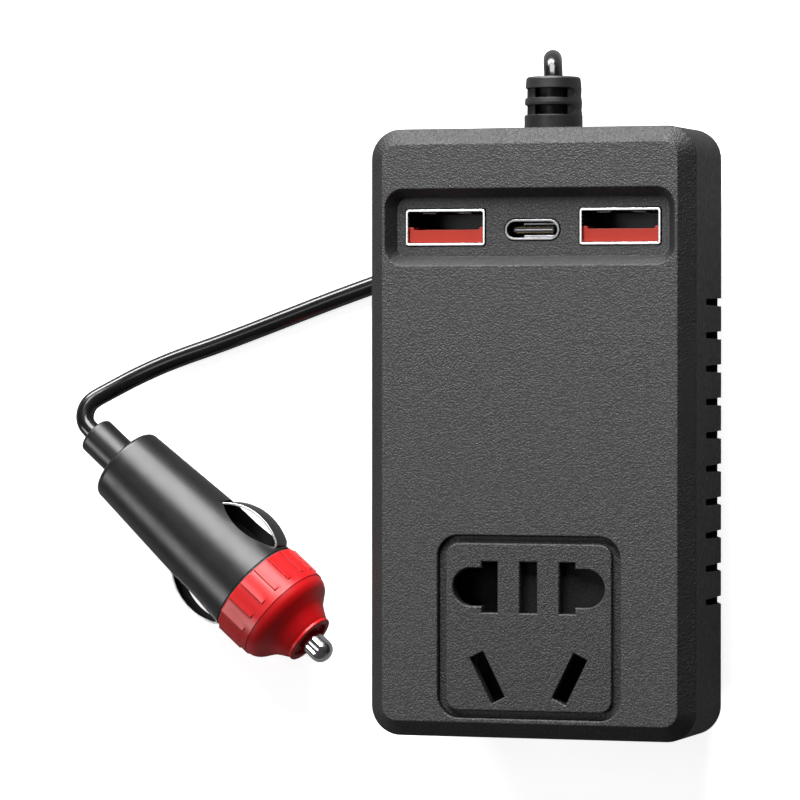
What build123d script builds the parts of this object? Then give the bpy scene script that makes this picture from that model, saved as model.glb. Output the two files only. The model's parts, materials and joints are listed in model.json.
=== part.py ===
from build123d import *
import math
import os

# A compact car power inverter that lies on its back: a cord with a 12 V lighter plug feeds it,
# and its face carries two USB-A ports, a USB-C port and a five-hole mains outlet.
# Millimetres. +X right, +Y towards the cord end, +Z out of the face.
# The origin is the centre of the body's footprint on the surface it stands on.

# ---- Body -------------------------------------------------------------------------------------
BODY_W = 53.2
BODY_L = 96.0
FACE_Z = 31.0            # front face above the surface
BACK_Z = 4.0             # back cover's flat above the surface
PARTING_Z = 13.4         # where the front and back shells meet
WALL = 2.0
CORNER_R = 4.8
FACE_CHAMFER_W = 2.5
FACE_CHAMFER_D = 2.2
EDGE_SOFTENING = 0.35    # small round on both edges of the face chamfer
BACK_INSET = 3.6         # how far the back flat lies inside the parting outline

# ---- Vents ------------------------------------------------------------------------------------
VENT_COUNT = 10
VENT_FIRST_Y = 20.6
VENT_PITCH = 5.23
VENT_TOP_Z = 22.9
VENT_TOP_W = 0.93
VENT_W = 1.3
VENT_BOTTOM_Z = 8.6

# ---- USB panel --------------------------------------------------------------------------------
USB_Y = 32.4
USB_RECESS_W, USB_RECESS_H = 47.4, 12.15
USB_RECESS_DEPTH = 2.2
USB_RECESS_SLOPE = 1.45
USB_RECESS_R = 3.0
USB_A_X = 14.3
USB_A_W, USB_A_H = 13.1, 5.7
USB_C_Y = USB_Y - 0.45
USB_C_W, USB_C_H = 8.94, 3.26
USB_SHELL_T = 0.35
PORT_GAP = 0.2           # between a port's shell and the panel
USB_BOARD_Z = 12.4
OPENING_ROUND = 0.28     # small round where the face meets the panel recess and the outlet

# ---- Mains outlet -----------------------------------------------------------------------------
AC_Y = -30.45
AC_PLATE_W, AC_PLATE_H = 27.2, 26.4
AC_OPENING_W, AC_OPENING_H = 29.8, 28.7
AC_R = 3.4
AC_GROOVE_DEPTH = 1.0
AC_PLATE_BACK = FACE_Z - 2.0   # back of the plate where the holes are
AC_FLANGE_W, AC_FLANGE_H = 32.0, 30.5
FLAT_PIN_X = 6.35        # flat pins stand 12.7 apart
UPPER_Y = AC_Y + 6.25
FLAT_SLOT_W, FLAT_SLOT_H = 2.55, 8.0
ROUND_PIN_X = 9.4
ROUND_HOLE_R = 3.0
SLANT_X = 6.75
SLANT_Y = AC_Y - 7.95
SLANT_SLOT_W, SLANT_SLOT_H = 2.4, 7.9
SLANT_ANGLE = 26.5
SHUTTER_UPPER_TRAVEL = 9.2
SHUTTER_LOWER_TRAVEL = 6.2
SHUTTER_UPPER_TOP = UPPER_Y + 4.8
SHUTTER_LOWER_RIGHT = 9.9
SPRING_CLOSED_UPPER = 4.2      # each spring's length with its shutter fully open
SPRING_CLOSED_LOWER = 3.5
SPRING_STOP_Y = SHUTTER_UPPER_TOP + SHUTTER_UPPER_TRAVEL + SPRING_CLOSED_UPPER
SPRING_STOP_X = SHUTTER_LOWER_RIGHT + SHUTTER_LOWER_TRAVEL + SPRING_CLOSED_LOWER
SPRING_SLACK = 0.05            # between a spring and what it pushes on
SHUTTER_HIGH_Z = 27.2
SHUTTER_LOW_Z = 22.9
SHUTTER_T = 1.5
SOCKET_BODY_TOP = 22.6
SOCKET_BODY_BOTTOM = 13.5
CONTACT_BASE_Z = 12.7
CONTACT_T = 0.6
HOLE_CHAMFER = 0.18

# ---- Screws, feet and boards ------------------------------------------------------------------
SCREW_X, SCREW_Y = 18.9, 40.2
FOOT_R = 3.6
MAIN_BOARD_Z = 8.6
BOARD_T = 1.6
BOARD_TOP = MAIN_BOARD_Z + BOARD_T

# ---- Cord and its strain relief ---------------------------------------------------------------
CORD_D = 3.0
CORD_Z = 17.05           # the cord's axis where it leaves the body
RELIEF_END_Y = 56.5
RELIEF_CORE_END_Y = 54.7
RELIEF_WEB = 0.6         # half the web left between the windows of the upper and lower side

# ---- Lighter plug, along its own axis from the back of its neck -------------------------------
PLUG_NECK = (-83.05, -1.0)   # the neck's back end, seen from above
PLUG_HEADING = -40.3         # degrees from +X
PLUG_ROLL = 3.5              # turns the leaf contacts out of the level plane
NECK_R, NECK_LEN = 3.2, 7.3
BARREL_BACK_R, BARREL_FRONT_R = 6.66, 8.52
BARREL_FRONT = 38.7
NECK_FLANGE_BACK, NECK_FLANGE_FRONT = 11.0, 12.3   # holds the neck behind the barrel's end wall
CONTACT_BACK, CONTACT_FRONT = 14.5, 15.1           # disc that the tip spring stands on
GASKET_T = 0.4
BAND_R, RIB_R, RIB_END = 8.72, 8.92, 44.4
BAND_END = 45.5
# The cap's nose: (radius, height) from the band's bevelled edge to its flange.
NOSE_CURVE = [(8.58, 45.85), (8.3, 46.6), (7.75, 47.35), (6.8, 48.1), (5.8, 48.95), (5.12, 49.9), (4.62, 50.8),
              (4.3, 51.3)]
FLANGE_R, NOSE_END = 4.4, 51.9
NOSE_SHOULDER = 46.8     # inner step that holds the tip's flange
RECESS_R, RECESS_DEPTH = 3.4, 1.3
TIP_END = 56.2
TIP_R = 2.0
SPIGOT_R, SPIGOT_END = 7.2, 43.4
RUNNING_GAP = 0.06
BORE_R = 4.45
INNER_FLANGE_R = 4.3     # what stands or slides inside the bore
RIB_COUNT = 18
FUSE_R, FUSE_BACK, FUSE_FRONT = 3.15, 20.0, 44.6
LEAF_W, LEAF_T = 4.0, 0.4
LEAF_PIVOT = 20.3
LEAF_START, LEAF_END = 25.2, 40.5        # where the bow's full arc would meet its foot's level
LEAF_CUT = 38.1                          # the arc stops here and turns down into its pocket
LEAF_FOOT_X, LEAF_PEAK_X = 6.4, 10.2
LEAF_HOOK_X = 6.6                        # how far down the front end reaches
LEAF_POCKET_BACK, LEAF_POCKET_FRONT = 26.1, 38.4
LEAF_POCKET_FLOOR = 4.95
LEAF_POCKET_END_W, LEAF_POCKET_MIDDLE_W = 4.3, 8.7
LEAF_SLOT_BACK, LEAF_SLOT_TOP = 19.6, 6.75
LEAF_SLOT_BEND, LEAF_MOUTH_LOW, LEAF_MOUTH_HIGH = 24.9, 7.9, 8.6   # where its roof slopes up, and how far

# Two circles of the plug rest on the surface: the barrel's back edge and the collar's back edge.
BARREL_REST_AT = NECK_LEN + 0.8
COLLAR_REST_AT = BARREL_FRONT + GASKET_T
PLUG_PITCH = math.degrees(math.atan((RIB_R - BARREL_BACK_R) / (COLLAR_REST_AT - BARREL_REST_AT)))
REST_MARGIN = 0.03


def plug_plane():
    """The plug's frame: z runs from the neck to the tip, x towards the right leaf contact."""
    heading, pitch = math.radians(PLUG_HEADING), math.radians(PLUG_PITCH)
    roll = math.radians(PLUG_ROLL)
    axis = Vector(math.cos(heading) * math.cos(pitch), math.sin(heading) * math.cos(pitch), math.sin(pitch))
    level = Vector(-math.sin(heading), math.cos(heading), 0)
    upward = axis.cross(level)
    height = BARREL_BACK_R * math.cos(pitch) - BARREL_REST_AT * math.sin(pitch) + REST_MARGIN
    side = level * math.cos(roll) + upward * math.sin(roll)
    return Plane(origin=(*PLUG_NECK, height), x_dir=side, z_dir=axis)


PLUG = plug_plane()

# The cord's route: out of the strain relief, folded down behind it, under the body on the
# surface, across to the plug, and folded into its neck.
NECK_END = PLUG.origin
NECK_BACK = PLUG.z_dir * -1
CORD_ROUTE = [
    Vector(0.0, RELIEF_CORE_END_Y, CORD_Z),
    Vector(0.0, 56.6, CORD_Z),
    Vector(-0.4, 58.5, 16.1),
    Vector(-1.0, 59.55, 14.2),
    Vector(-1.9, 59.8, 10.9),
    Vector(-3.0, 59.6, 7.2),
    Vector(-3.9, 58.7, 3.9),
    Vector(-4.4, 56.2, 1.9),
    Vector(-4.7, 52.6, 1.55),
    Vector(-4.8, 47.0, 1.53),
    Vector(-6.8, 40.0, 1.53),
    Vector(-12.0, 33.2, 1.53),
    Vector(-19.8, 28.8, 1.53),
    Vector(-30.0, 25.5, 1.53),
    Vector(-40.3, 22.1, 1.53),
    Vector(-51.0, 18.2, 1.53),
    Vector(-62.0, 14.2, 1.53),
    Vector(-70.6, 11.4, 1.75),
    Vector(-76.6, 8.8, 2.4),
    Vector(-80.9, 6.45, 3.4),
    Vector(-83.9, 4.75, 4.4),
    Vector(-84.75, 3.7, 4.95),
    Vector(-85.12, 2.45, 5.4),
    Vector(-84.98, 1.15, 5.75),
    NECK_END + NECK_BACK * 1.68,
    NECK_END,
]


def rounded_block(width, length, radius, z_low, z_high, centre=(0, 0)):
    outline = Pos(*centre, z_low) * RectangleRounded(width, length, radius)
    return extrude(outline, amount=z_high - z_low)


def block(x, y, z):
    """A box from three (low, high) pairs."""
    sizes = [high - low for low, high in (x, y, z)]
    middle = [(high + low) / 2 for low, high in (x, y, z)]
    return Pos(*middle) * Box(*sizes)


def rod(radius, z_low, z_high, centre=(0, 0)):
    return Pos(*centre, (z_low + z_high) / 2) * Cylinder(radius, z_high - z_low)


def rod_y(radius, y_low, y_high, x=0.0, z=0.0):
    return Pos(x, (y_low + y_high) / 2, z) * Rot(90, 0, 0) * Cylinder(radius, y_high - y_low)


def corners(x, y):
    return [(sx * x, sy * y) for sx in (-1, 1) for sy in (-1, 1)]


def vent_ys():
    return [VENT_FIRST_Y - i * VENT_PITCH for i in range(VENT_COUNT)]


def vent_cutters(z_top, top_w, z_bottom):
    """One cutter through both side walls for each vent, wider towards the back."""
    cutters = []
    for y in vent_ys():
        profile = Plane.YZ * make_face(Polyline(
            (y - top_w / 2, z_top), (y + top_w / 2, z_top),
            (y + VENT_W / 2, z_bottom), (y - VENT_W / 2, z_bottom), close=True))
        for side in (-1, 1):
            near, far = BODY_W / 2 - WALL - 4.0, BODY_W / 2 + 1.0
            start = Pos(min(side * near, side * far), 0, 0)
            cutters.append(start * extrude(profile, amount=far - near, dir=(1, 0, 0)))
    return cutters


def face_shell():
    """The front shell's outer form: straight walls and a chamfered face."""
    chamfer_z = FACE_Z - FACE_CHAMFER_D
    walls = rounded_block(BODY_W, BODY_L, CORNER_R, PARTING_Z, chamfer_z)
    angle = math.degrees(math.atan(FACE_CHAMFER_W / FACE_CHAMFER_D))
    brow = extrude(Pos(0, 0, chamfer_z) * RectangleRounded(BODY_W, BODY_L, CORNER_R),
                   amount=FACE_CHAMFER_D, taper=angle)
    form = walls + brow
    soft = [e for e in form.edges()
            if e.center().Z > chamfer_z - 0.01 and abs(e.bounding_box().size.Z) < 0.01]
    return fillet(soft, EDGE_SOFTENING)


def usb_a_centres():
    return {"left": (-USB_A_X, USB_Y), "right": (USB_A_X, USB_Y)}


def make_front_housing():
    shell = face_shell()
    inside = rounded_block(BODY_W - 2 * WALL, BODY_L - 2 * WALL, CORNER_R - WALL,
                           PARTING_Z - 1, FACE_Z - WALL)
    # The wall thickens behind the recessed USB panel.
    panel_back = block((-24.9, 24.9), (USB_Y - 7.8, USB_Y + 7.8), (26.8, FACE_Z))
    inside -= panel_back
    for x, y in corners(SCREW_X, SCREW_Y):
        inside -= rod(2.5, PARTING_Z, FACE_Z, (x, y))
    # Stops that the shutter springs push against.
    inside -= block((-2.5, 2.5), (SPRING_STOP_Y, SPRING_STOP_Y + 1.4), (24.4, FACE_Z))
    inside -= block((SPRING_STOP_X, 25.0), (AC_Y - 4.0, AC_Y - 1.2), (21.9, FACE_Z))
    shell -= inside
    for x, y in corners(SCREW_X, SCREW_Y):
        shell -= rod(1.3, PARTING_Z - 1, 25.0, (x, y))

    slope = math.degrees(math.atan(USB_RECESS_SLOPE / USB_RECESS_DEPTH))
    recess = extrude(Pos(0, USB_Y, FACE_Z) * RectangleRounded(USB_RECESS_W, USB_RECESS_H, USB_RECESS_R),
                     amount=-USB_RECESS_DEPTH, taper=slope)
    shell -= recess
    shell -= rounded_block(AC_OPENING_W, AC_OPENING_H, AC_R, FACE_Z - WALL - 1, FACE_Z + 1, (0, AC_Y))
    inner_rims = [e for e in shell.edges()
                  if abs(e.bounding_box().min.Z - FACE_Z) < 0.01
                  and abs(e.center().X) < USB_RECESS_W / 2 + 0.1 and abs(e.center().Y) < BODY_L / 2 - 4]
    shell = fillet(inner_rims, OPENING_ROUND)
    for x, y in usb_a_centres().values():
        shell -= rounded_block(USB_A_W + 2 * PORT_GAP, USB_A_H + 2 * PORT_GAP, 0.5, 20, FACE_Z, (x, y))
    shell -= extrude(Pos(0, USB_C_Y, 20) * SlotOverall(USB_C_W + 2 * PORT_GAP, USB_C_H + 2 * PORT_GAP),
                     amount=FACE_Z - 20)
    for cutter in vent_cutters(VENT_TOP_Z, VENT_TOP_W, PARTING_Z - 0.5):
        shell -= cutter
    # Open slot in the end wall for the strain relief's neck.
    shell -= rod_y(3.2, BODY_L / 2 - WALL - 0.5, BODY_L / 2 + 0.5, z=CORD_Z)
    shell -= block((-3.2, 3.2), (BODY_L / 2 - WALL - 0.5, BODY_L / 2 + 0.5), (PARTING_Z - 1, CORD_Z))
    return shell


def make_back_housing():
    depth = PARTING_Z - BACK_Z
    lean = math.degrees(math.atan(BACK_INSET / depth))
    outer = extrude(Pos(0, 0, PARTING_Z) * RectangleRounded(BODY_W, BODY_L, CORNER_R),
                    amount=-depth, taper=lean)
    rim = [e for e in outer.edges() if e.center().Z < BACK_Z + 0.01]
    outer = fillet(rim, 0.8)
    hollow = extrude(Pos(0, 0, PARTING_Z) * RectangleRounded(BODY_W - 2 * WALL, BODY_L - 2 * WALL, CORNER_R - WALL),
                     amount=-(depth - WALL), taper=lean * 0.9)
    for x, y in corners(SCREW_X, SCREW_Y):
        hollow -= rod(3.7, BACK_Z, PARTING_Z + 1, (x, y))
    for x, y in corners(16.0, 30.0):
        hollow -= rod(2.0, BACK_Z, MAIN_BOARD_Z, (x, y))
    shell = outer - hollow
    for x, y in corners(SCREW_X, SCREW_Y):
        shell -= rod(1.45, BACK_Z, PARTING_Z + 1, (x, y))
        shell -= rod(2.5, BACK_Z - 1, 8.0, (x, y))
    for cutter in vent_cutters(PARTING_Z + 0.5, VENT_W, VENT_BOTTOM_Z):
        shell -= cutter
    # Saddle that closes the strain relief's slot from below.
    saddle = block((-3.1, 3.1), (BODY_L / 2 - WALL, BODY_L / 2), (PARTING_Z - 0.5, CORD_Z))
    saddle -= rod_y(3.2, BODY_L / 2 - WALL - 1, BODY_L / 2 + 1, z=CORD_Z)
    return shell + saddle


def make_housing_screws():
    """Four pan-head screws with cross recesses, driven from the back."""
    screw = rod(2.2, 5.9, 8.0) + rod(1.25, 8.0, 24.0)
    screw -= block((-1.3, 1.3), (-0.3, 0.3), (5.8, 7.1))
    screw -= block((-0.3, 0.3), (-1.3, 1.3), (5.8, 7.1))
    return Compound([Pos(x, y, 0) * screw for x, y in corners(SCREW_X, SCREW_Y)])


def make_rubber_feet():
    """Four feet that plug into the screw wells and hold the cover clear of the cord."""
    pad = rod(FOOT_R, 0, BACK_Z)
    rims = [e for e in pad.edges() if e.center().Z < 0.01]
    pad = fillet(rims, 0.6) + rod(2.4, BACK_Z, 5.7)
    return Compound([Pos(x, y, 0) * pad for x, y in corners(SCREW_X, SCREW_Y)])


# ---- Mains outlet -----------------------------------------------------------------------------
def upper_apertures(z_low, z_high):
    """Earth slot and, each side, a flat slot joined to a D-shaped round hole."""
    cut = block((-FLAT_SLOT_W / 2 - 0.1, FLAT_SLOT_W / 2 + 0.1),
                (UPPER_Y - FLAT_SLOT_H / 2, UPPER_Y + FLAT_SLOT_H / 2), (z_low, z_high))
    for side in (-1, 1):
        x = side * FLAT_PIN_X
        cut += block((x - FLAT_SLOT_W / 2, x + FLAT_SLOT_W / 2),
                     (UPPER_Y - FLAT_SLOT_H / 2, UPPER_Y + FLAT_SLOT_H / 2), (z_low, z_high))
        cut += rod(ROUND_HOLE_R, z_low, z_high, (side * ROUND_PIN_X, UPPER_Y))
        near, far = sorted((side * FLAT_PIN_X, side * ROUND_PIN_X))
        cut += block((near, far), (UPPER_Y - ROUND_HOLE_R, UPPER_Y + ROUND_HOLE_R), (z_low, z_high))
    return cut


def slant_place(side):
    return Pos(side * SLANT_X, SLANT_Y, 0) * Rot(0, 0, -side * SLANT_ANGLE)


def make_socket_faceplate():
    plate = rounded_block(AC_PLATE_W, AC_PLATE_H, AC_R - 1.3, FACE_Z - 3.0, FACE_Z, (0, AC_Y))
    top_rim = [e for e in plate.edges() if e.center().Z > FACE_Z - 0.01]
    plate = fillet(top_rim, 0.3)
    plate += rounded_block(AC_OPENING_W - 0.2, AC_OPENING_H - 0.2, AC_R - 0.1,
                           FACE_Z - 3.0, FACE_Z - AC_GROOVE_DEPTH, (0, AC_Y))
    plate += rounded_block(AC_FLANGE_W, AC_FLANGE_H, 2.0, 27.4, FACE_Z - WALL, (0, AC_Y))
    # Room behind the plate for the shutters, open towards the USB end.
    plate -= block((-13.85, 13.85), (AC_Y - 13.6, AC_Y + 20), (27, AC_PLATE_BACK))
    plate -= upper_apertures(27, FACE_Z + 1)
    for side in (-1, 1):
        slot = block((-SLANT_SLOT_W / 2, SLANT_SLOT_W / 2), (-SLANT_SLOT_H / 2, SLANT_SLOT_H / 2),
                     (27, FACE_Z + 1))
        plate -= slant_place(side) * slot
    in_plate = AC_PLATE_W / 2 - 0.9
    hole_rims = [e for e in plate.edges()
                 if e.center().Z > FACE_Z - 0.01 and abs(e.center().X) < in_plate
                 and abs(e.center().Y - AC_Y) < AC_PLATE_H / 2 - 0.9]
    return chamfer(hole_rims, HOLE_CHAMFER)


def make_socket_body():
    """Insulating block behind the faceplate: contact pockets, and walls that guide the shutters."""
    y_low, y_high = AC_Y - 15.1, AC_Y + 15.1
    body = block((-15.8, 15.8), (y_low, y_high), (SOCKET_BODY_BOTTOM, SOCKET_BODY_TOP))
    for side in (-1, 1):
        outer, inner = side * 15.8, side * 13.9
        body += block((min(outer, inner), max(outer, inner)), (AC_Y + 0.3, y_high), (SOCKET_BODY_TOP, 27.4))
    body += block((-15.8, 15.8), (y_low, y_low + 1.2), (SOCKET_BODY_TOP, 27.4))
    for side in (-1, 1):
        near, far = side * 4.2, side * 13.0
        body -= block((min(near, far), max(near, far)), (UPPER_Y - 4.6, UPPER_Y + 4.6), (12, 23))
        body -= slant_place(side) * block((-2.3, 2.3), (-4.3, 4.3), (12, 23))
    body -= block((-2.3, 2.3), (UPPER_Y - 4.6, UPPER_Y + 4.6), (12, 23))
    return body


def line_contact(side):
    """One brass strip that feeds an upper and a lower pin: leaves on a base, with a solder tail."""
    strip_z = (CONTACT_BASE_Z, CONTACT_BASE_Z + CONTACT_T)
    leaf_z = (strip_z[1], SOCKET_BODY_TOP - 1.0)
    base = block((6.0, 10.2), (SLANT_Y - 1.0, UPPER_Y + 3.0), strip_z)
    base += block((4.75, 11.9), (UPPER_Y - 3.0, UPPER_Y + 3.0), strip_z)
    for x in (4.75, 7.45, 11.4):
        base += block((x, x + 0.5), (UPPER_Y - 3.0, UPPER_Y + 3.0), leaf_z)
    clip = block((-1.75, 1.75), (-2.8, 2.8), strip_z)
    for x in (-1.75, 1.25):
        clip += block((x, x + 0.5), (-2.8, 2.8), leaf_z)
    base += slant_place(1) * clip
    base += block((7.6, 8.6), (AC_Y - 1.2, AC_Y + 1.2), (BOARD_TOP, CONTACT_BASE_Z))
    return base if side > 0 else mirror(base, about=Plane.YZ)


def make_earth_contact():
    y_span = (UPPER_Y - 3.0, UPPER_Y + 3.0)
    contact = block((-1.7, 1.7), y_span, (CONTACT_BASE_Z, CONTACT_BASE_Z + CONTACT_T))
    for x in (-1.7, 1.2):
        contact += block((x, x + 0.5), y_span, (CONTACT_BASE_Z + CONTACT_T, SOCKET_BODY_TOP - 1.0))
    return contact + block((-0.5, 0.5), (UPPER_Y - 1.2, UPPER_Y + 1.2), (BOARD_TOP, CONTACT_BASE_Z))


def make_shutter_upper():
    """Slides towards the USB end. Its left wing lies lower than the rest."""
    y_span = (UPPER_Y - 5.0, SHUTTER_UPPER_TOP)
    high = block((-3.6, 13.6), y_span, (SHUTTER_HIGH_Z, SHUTTER_HIGH_Z + SHUTTER_T))
    low = block((-13.6, -3.6), y_span, (SHUTTER_LOW_Z, SHUTTER_LOW_Z + SHUTTER_T))
    web = block((-4.4, -3.2), y_span, (SHUTTER_LOW_Z, SHUTTER_HIGH_Z + SHUTTER_T))
    return high + low + web


def make_shutter_lower():
    """Slides to the right: two wings on a bar."""
    z = (SHUTTER_LOW_Z, SHUTTER_LOW_Z + SHUTTER_T)
    shutter = block((-SHUTTER_LOWER_RIGHT, SHUTTER_LOWER_RIGHT), (AC_Y - 3.4, AC_Y - 1.7), z)
    for side in (-1, 1):
        near, far = side * 3.9, side * SHUTTER_LOWER_RIGHT
        shutter += block((min(near, far), max(near, far)), (AC_Y - 12.9, AC_Y - 3.4), z)
    return shutter


def coil_spring(length, radius, wire, turns):
    """A compression spring along +Z, from z = 0 to its length."""
    path = Helix(pitch=(length - wire) / turns, height=length - wire, radius=radius)
    section = Plane(origin=path @ 0, z_dir=path % 0) * Circle(wire / 2)
    return Pos(0, 0, wire / 2) * sweep(section, path=path)


def make_shutter_upper_spring():
    start = SHUTTER_UPPER_TOP + SPRING_SLACK
    spring = coil_spring(SPRING_STOP_Y - SPRING_SLACK - start, 0.6, 0.25, 9)
    return Pos(0, start, SHUTTER_HIGH_Z + 0.75) * Rot(-90, 0, 0) * spring


def make_shutter_lower_spring():
    start = SHUTTER_LOWER_RIGHT + SPRING_SLACK
    spring = coil_spring(SPRING_STOP_X - SPRING_SLACK - start, 0.55, 0.22, 8)
    return Pos(start, AC_Y - 2.55, SHUTTER_LOW_Z + 0.75) * Rot(0, 90, 0) * spring


# ---- USB ports --------------------------------------------------------------------------------
def usb_a_shell(centre):
    low, high = USB_BOARD_Z + BOARD_T, FACE_Z - USB_RECESS_DEPTH + 0.15
    shell = rounded_block(USB_A_W, USB_A_H, 0.45, low, high, centre)
    return shell - rounded_block(USB_A_W - 2 * USB_SHELL_T, USB_A_H - 2 * USB_SHELL_T, 0.2,
                                 low - 1, high + 1, centre)


def usb_a_tongue(centre):
    """Coloured insulator: a base that fills the shell's foot and the contact tongue."""
    x, y = centre
    low, top = USB_BOARD_Z + BOARD_T, FACE_Z - USB_RECESS_DEPTH - 0.5
    half_w, half_h = USB_A_W / 2 - USB_SHELL_T - 0.05, USB_A_H / 2 - USB_SHELL_T - 0.05
    base = block((x - half_w, x + half_w), (y - half_h, y + half_h), (low, low + 3.5))
    base += block((x - half_w, x + half_w), (y - half_h, y - half_h + 2.0), (low + 3.5, top))
    for side in (-1, 1):
        end, inner = x + side * half_w, x + side * (half_w - 0.7)
        base += block((min(end, inner), max(end, inner)), (y - half_h, y - half_h + 2.5), (low + 3.5, top))
    return base


def make_usb_c_shell():
    low, high = USB_BOARD_Z + BOARD_T, FACE_Z - USB_RECESS_DEPTH + 0.15
    outer = extrude(Pos(0, USB_C_Y, low) * SlotOverall(USB_C_W, USB_C_H), amount=high - low)
    return outer - extrude(Pos(0, USB_C_Y, low - 1) * SlotOverall(USB_C_W - 0.7, USB_C_H - 0.7),
                           amount=high - low + 2)


def make_usb_c_tongue():
    low = USB_BOARD_Z + BOARD_T
    base = extrude(Pos(0, USB_C_Y, low) * SlotOverall(USB_C_W - 0.8, USB_C_H - 0.8), amount=5.0)
    return base + rounded_block(6.7, 0.8, 0.3, low, FACE_Z - USB_RECESS_DEPTH - 0.9, (0, USB_C_Y))


def make_usb_board():
    board = block((-23.5, 23.5), (25.4, 36.2), (USB_BOARD_Z, USB_BOARD_Z + BOARD_T))
    for x in (-21.2, 21.2):
        board += block((x - 1.2, x + 1.2), (28.0, 34.5), (BOARD_TOP, USB_BOARD_Z))
    return board


# ---- Electronics ------------------------------------------------------------------------------
def make_main_board():
    board = rounded_block(45.0, 70.0, 1.5, MAIN_BOARD_Z, BOARD_TOP)
    board += block((-13.0, 13.0), (34.0, 42.5), (MAIN_BOARD_Z, BOARD_TOP))
    return board


def make_transformer_core():
    """A ferrite E pair: outer frame and a centre leg, with two windows for the winding."""
    core = block((-15.0, 5.0), (0.0, 9.0), (BOARD_TOP, BOARD_TOP + 14.0))
    for low, high in ((-12.0, -8.4), (-1.6, 2.0)):
        core -= block((low, high), (-1.0, 10.0), (BOARD_TOP + 3.0, BOARD_TOP + 11.0))
    return core


def make_transformer_winding():
    """Copper wound round the centre leg."""
    z = (BOARD_TOP + 3.3, BOARD_TOP + 10.7)
    winding = rounded_block(13.0, 15.0, 3.0, *z, (-5.0, 4.5))
    return winding - block((-8.5, -1.5), (-0.1, 9.1), (BOARD_TOP, BOARD_TOP + 14))


def make_input_capacitors():
    """Two electrolytic cans, each with a crimped neck and a scored top."""
    cans = []
    for y in (17.0, 7.5):
        can = rod(4.0, BOARD_TOP, BOARD_TOP + 13.0, (14.5, y))
        can -= Pos(14.5, y, BOARD_TOP + 2.2) * Torus(4.2, 0.5)
        can -= block((11.5, 17.5), (y - 0.2, y + 0.2), (BOARD_TOP + 12.7, BOARD_TOP + 14))
        cans.append(can)
    return Compound(cans)


def make_high_voltage_capacitor():
    can = rod(5.0, BOARD_TOP, BOARD_TOP + 15.0, (14.0, -4.0))
    can -= Pos(14.0, -4.0, BOARD_TOP + 2.4) * Torus(5.2, 0.55)
    return can


def make_heat_sink():
    """A finned aluminium bar along the left side."""
    sink = block((-21.8, -20.3), (-12.0, 22.0), (BOARD_TOP, BOARD_TOP + 15.0))
    for i in range(6):
        z = BOARD_TOP + 2.0 + 2.4 * i
        sink += block((-23.6, -21.8), (-12.0, 22.0), (z, z + 0.9))
    return sink


def make_power_transistors():
    """Four power transistors standing against the heat sink: body, tab and three legs each."""
    parts = []
    for i in range(4):
        y = -6.0 + 8.2 * i
        body = block((-20.3, -17.0), (y - 3.0, y + 3.0), (BOARD_TOP + 2.5, BOARD_TOP + 9.0))
        body += block((-20.3, -19.3), (y - 3.0, y + 3.0), (BOARD_TOP + 9.0, BOARD_TOP + 13.0))
        for leg in (-1.9, 0.0, 1.9):
            body += block((-18.7, -18.2), (y + leg - 0.35, y + leg + 0.35), (BOARD_TOP, BOARD_TOP + 2.5))
        parts.append(body)
    return Compound(parts)


INDUCTOR_AT = (-6.0, 18.4, BOARD_TOP + 3.4)


def make_inductor_core():
    return Pos(*INDUCTOR_AT) * (rod(5.0, -1.9, 1.9) - rod(2.6, -3, 3))


def make_inductor_winding():
    """Turns of wire set round the ring, each a square loop standing off its surface."""
    turn = block((1.9, 5.7), (-0.45, 0.45), (-2.6, 2.6)) - block((2.5, 5.1), (-1, 1), (-2.0, 2.0))
    count = 12
    return Compound([Pos(*INDUCTOR_AT) * Rot(0, 0, 360 / count * i) * turn for i in range(count)])


def make_internal_leads():
    """Two cores of the cord, from the strain relief down to the main board."""
    leads = []
    for x in (-1.1, 1.1):
        path = FilletPolyline((x, 44.3, CORD_Z), (x, 39.8, CORD_Z), (x, 39.8, BOARD_TOP), radius=2.5)
        section = Plane(origin=path @ 0, z_dir=path % 0) * Circle(0.7)
        leads.append(sweep(section, path=path))
    return Compound(leads)


# ---- Cord -------------------------------------------------------------------------------------
def make_strain_relief():
    """A sleeve with a neck in the end wall, windows above and below that let it flex, and a belled mouth."""
    wall_in, wall_out = BODY_L / 2 - WALL, BODY_L / 2
    sleeve = rod_y(4.5, 44.3, wall_in - 0.5, z=CORD_Z) + rod_y(3.15, wall_in - 0.6, wall_out + 0.1, z=CORD_Z)
    skin = Plane.XY * make_face(Polyline(
        (0, wall_out + 0.05), (4.65, wall_out + 0.05), (4.65, 50.2), (4.5, 51.2), (4.6, 52.4),
        (4.45, 53.4), (4.5, 54.6), (4.35, RELIEF_END_Y - 0.3), (4.05, RELIEF_END_Y), (0, RELIEF_END_Y),
        close=True))
    sleeve += Pos(0, 0, CORD_Z) * revolve(skin, Axis.Y)
    for y in (50.4, 53.1):
        window = Pos(-1.1, y + 0.8, CORD_Z) * extrude(RectangleRounded(10.4, 1.6, 0.79), amount=6, both=True)
        core = rod_y(2.55, y - 1, y + 3, z=CORD_Z)
        core += block((-2.9, -2.3), (y - 1, y + 3), (CORD_Z - 2.4, CORD_Z + 2.4))
        core += block((-4.2, 4.2), (y - 1, y + 3), (CORD_Z - RELIEF_WEB, CORD_Z + RELIEF_WEB))
        sleeve -= window - core
    mouth = Plane.XY * make_face(Polyline(
        (0, RELIEF_CORE_END_Y), (1.7, RELIEF_CORE_END_Y), (2.6, RELIEF_END_Y), (2.6, 58), (0, 58), close=True))
    return sleeve - Pos(0, 0, CORD_Z) * revolve(mouth, Axis.Y)


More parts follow.
